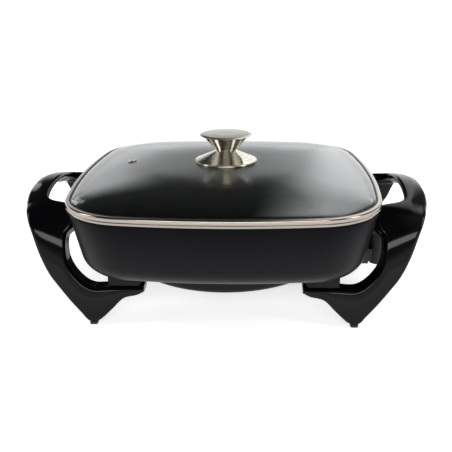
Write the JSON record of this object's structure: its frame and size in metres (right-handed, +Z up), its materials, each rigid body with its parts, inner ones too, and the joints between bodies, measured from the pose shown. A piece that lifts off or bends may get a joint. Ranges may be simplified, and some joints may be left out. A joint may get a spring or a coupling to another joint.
{
  "type": "electric skillet",
  "caption": "Square electric skillet on arched handles with legs, a domed glass lid in a steel rim with a steel knob, and a plug-in temperature control with a dial.",
  "frame": {"origin": "on the table under the middle of the vessel", "axes": "+X along the line of the two handles, towards the plug-in control; +Y away from the viewer; +Z up"},
  "size_m": [0.4074, 0.32, 0.1783],
  "materials": {
    "pan_coating": "satin charcoal non-stick coating on cast aluminium",
    "element_steel": "drawn stainless steel tube",
    "pin_steel": "plated contact pins",
    "ceramic": "ivory fired ceramic",
    "shroud_plastic": "black phenolic moulding",
    "screw_steel": "zinc plated steel",
    "handle_plastic": "polished black phenolic moulding",
    "foot_rubber": "matt black rubber",
    "lid_glass": "clear tempered glass",
    "rim_steel": "polished stainless steel strip",
    "knob_steel": "turned and polished stainless steel",
    "seal_rubber": "black silicone",
    "control_plastic": "fine grained dark grey moulding",
    "brass": "stamped brass",
    "pilot_amber": "clear amber lens",
    "lamp_glass": "neon lamp",
    "dial_plastic": "black moulded dial"
  },
  "bodies": {
    "base": {"pan": "pan_coating", "heating_element": "element_steel", "terminal_pin_front": "pin_steel", "terminal_pin_back": "pin_steel", "terminal_insulator_front": "ceramic", "terminal_insulator_back": "ceramic", "inlet_shroud": "shroud_plastic", "inlet_screws": "screw_steel", "handle_screws_left": "screw_steel", "handle_screws_right": "screw_steel", "handle_left": "handle_plastic", "handle_right": "handle_plastic", "foot_pad_front_left": "foot_rubber", "foot_pad_front_right": "foot_rubber", "foot_pad_back_left": "foot_rubber", "foot_pad_back_right": "foot_rubber"},
    "lid": {"lid_glass": "lid_glass", "lid_rim": "rim_steel", "vent_eyelet": "rim_steel", "knob_base": "knob_steel", "knob_top": "knob_steel", "knob_washer": "seal_rubber", "knob_inner_washer": "seal_rubber", "knob_screw": "screw_steel"},
    "control": {"control_upper_shell": "control_plastic", "control_lower_shell": "control_plastic", "probe_rod": "element_steel", "contact_sleeve_front": "brass", "contact_sleeve_back": "brass", "switch_blade": "brass", "switch_block": "ceramic", "pilot_lens": "pilot_amber", "pilot_lamp": "lamp_glass", "cord_gland": "seal_rubber", "control_screws": "screw_steel"},
    "dial": {"dial": "dial_plastic", "dial_spindle": "element_steel"}
  },
  "joints": [
    {"name": "lid_lift", "type": "slide", "parent": "base", "child": "lid", "axis": [0, 0, 1], "range_m": [0, 0.15]},
    {"name": "control_unplug", "type": "slide", "parent": "base", "child": "control", "axis": [1, 0, 0], "range_m": [0, 0.076]},
    {"name": "dial_turn", "type": "hinge", "parent": "control", "child": "dial", "pos_m": [0.183, 0, 0.08], "axis": [0, 0, -1], "range_deg": [0, 270]}
  ]
}
